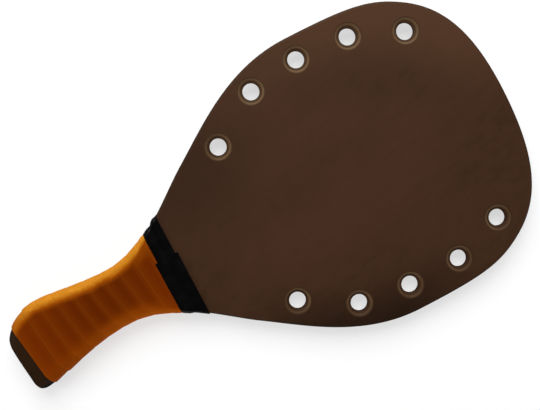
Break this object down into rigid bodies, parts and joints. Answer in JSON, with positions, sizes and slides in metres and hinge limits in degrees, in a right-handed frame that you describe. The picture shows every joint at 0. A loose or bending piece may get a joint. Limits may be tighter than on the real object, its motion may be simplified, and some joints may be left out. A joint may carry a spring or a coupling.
{
  "type": "frescobol racket",
  "caption": "Solid wooden beach paddle racket with a stained oval blade, countersunk rim holes, wound overgrip and finishing tape.",
  "frame": {"origin": "middle of the racket's outline seen from the front, at the lowest level of the overgrip, on which it lies", "axes": "+X along the long axis from the butt to the tip, +Y to the left edge seen from the front with the tip up, +Z out of the front face"},
  "size_m": [0.443, 0.2432, 0.0257],
  "materials": {
    "stained_veneer": "dark brown stain under a thin satin varnish, with a fine mottled figure",
    "pale_ply": "bare pale veneer, seen as the light rings in the countersinks",
    "brown_ply": "bare mid-brown veneer, cut across its grain at the holes",
    "orange_overgrip": "soft tacky orange overgrip with a low sheen",
    "black_tape": "stretched black elastic tape with a soft gloss"
  },
  "bodies": {
    "root": {"core_ply": "brown_ply", "front_long_ply": "pale_ply", "back_long_ply": "pale_ply", "front_cross_ply": "brown_ply", "back_cross_ply": "brown_ply", "front_face_veneer": "stained_veneer", "back_face_veneer": "stained_veneer", "front_handle_scale": "stained_veneer", "back_handle_scale": "stained_veneer", "overgrip": "orange_overgrip", "finishing_tape": "black_tape"}
  },
  "joints": []
}
